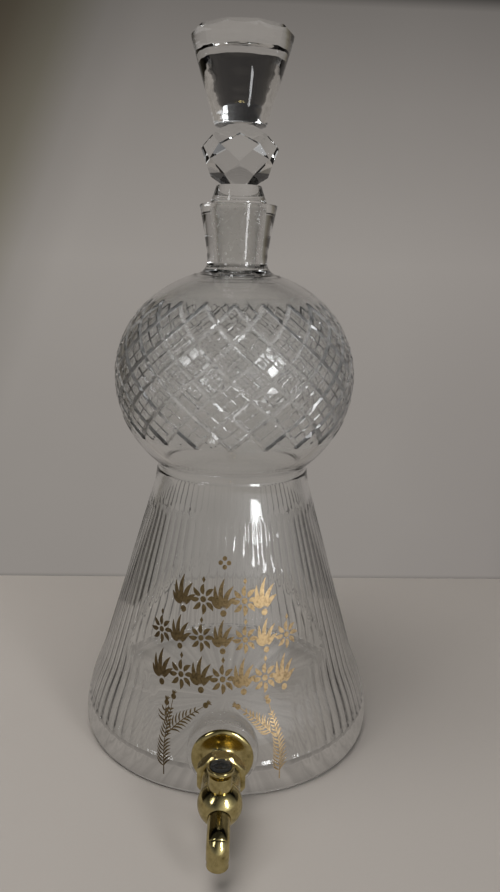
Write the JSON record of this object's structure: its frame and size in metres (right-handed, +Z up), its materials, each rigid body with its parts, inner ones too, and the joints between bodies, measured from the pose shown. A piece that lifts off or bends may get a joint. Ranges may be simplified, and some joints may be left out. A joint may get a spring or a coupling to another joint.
{
  "type": "glass spirit dispenser decanter",
  "caption": "Cut-glass decanter with a fluted flared body, diamond-cut bulb, solid glass stopper and a push-button brass tap low at the front.",
  "frame": {"origin": "centre of the vessel's flat base, on the surface that it stands on", "axes": "+Z up along the vessel's axis; the tap points to -Y; +X to the right when facing the tap"},
  "size_m": [0.226, 0.31, 0.5095],
  "materials": {
    "cut_glass": "polished, clear, diamond and flute cut",
    "brass": "aged and lightly tarnished",
    "spring_steel": "drawn wire",
    "rubber": "matt",
    "fibre": "matt fibre sheet",
    "cork": "natural cork",
    "button_black": "gloss black"
  },
  "bodies": {
    "vessel": {"glass_vessel": "cut_glass", "tap_bush": "cork", "flange_washer": "fibre", "tap_shank": "brass", "tap_flange": "brass", "collar_nut": "brass", "tap_body": "brass", "body_plug": "brass", "bonnet": "brass", "stem_seal": "rubber", "valve_seat": "brass", "return_spring": "spring_steel", "spout_pipe": "brass", "spout_nozzle": "brass"},
    "stopper": {"stopper": "cut_glass"},
    "button": {"push_button": "brass", "button_inlay": "button_black", "valve_stem": "brass", "disc_nut": "brass", "valve_disc": "rubber"}
  },
  "joints": [
    {"name": "stopper_lift", "type": "slide", "parent": "vessel", "child": "stopper", "axis": [0, 0, 1], "range_m": [0, 0.06]},
    {"name": "button_press", "type": "slide", "parent": "vessel", "child": "button", "axis": [0, 0, 1], "range_m": [-0.0025, 0], "stiffness_N_per_m": 1500, "springref_m": 0.002, "deforming": ["return_spring"]}
  ]
}
